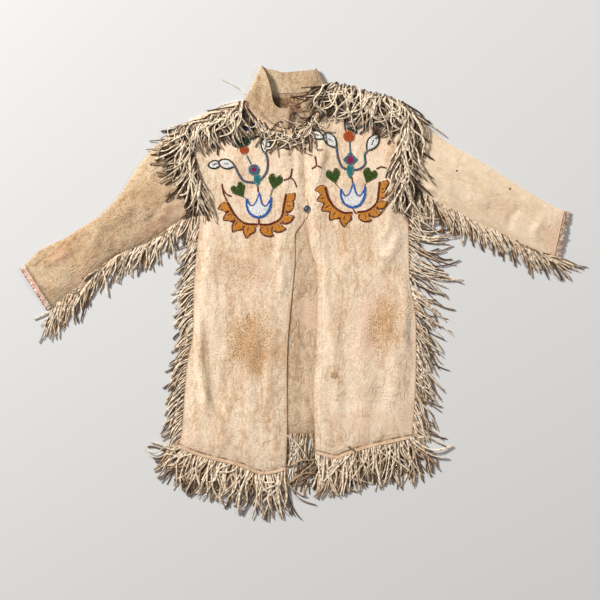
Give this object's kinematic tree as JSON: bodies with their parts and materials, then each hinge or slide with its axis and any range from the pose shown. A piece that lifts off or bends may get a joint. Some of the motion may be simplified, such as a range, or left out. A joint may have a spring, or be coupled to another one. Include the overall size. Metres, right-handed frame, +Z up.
{
  "type": "fringed buckskin jacket",
  "caption": "Thigh-length buckskin jacket laid flat, front up, with long cut-hide fringes, a stand collar, pinked cuffs, one metal button and floral beadwork on the chest.",
  "frame": {"origin": "on the underside of the back panel, in the middle of the jacket with its sleeves and fringes", "axes": "+X runs to the right as one looks down on the front, +Y towards the collar, +Z up out of the surface that the jacket lies on"},
  "size_m": [1.4747, 1.1854, 0.0188],
  "materials": {
    "buckskin": "napped smoked buckskin",
    "buckskin_inside": "napped, inner side, darker",
    "fringe_hide": "cut thongs of napped buckskin",
    "pewter": "dull dark metal"
  },
  "bodies": {
    "root": {"back": "buckskin_inside", "button": "pewter", "collar": "buckskin", "cuff_trim_left": "buckskin", "cuff_trim_right": "buckskin", "fringe_armhole_left": "fringe_hide", "fringe_armhole_right": "fringe_hide", "fringe_hem_back": "fringe_hide", "fringe_hem_left": "fringe_hide", "fringe_hem_right": "fringe_hide", "fringe_neck": "fringe_hide", "fringe_shoulder_left": "fringe_hide", "fringe_shoulder_right": "fringe_hide", "fringe_side_left": "fringe_hide", "fringe_side_right": "fringe_hide", "fringe_underarm_left": "fringe_hide", "fringe_underarm_right": "fringe_hide", "front_left": "buckskin", "front_right": "buckskin", "sleeve_left": "buckskin", "sleeve_right": "buckskin"}
  },
  "joints": []
}
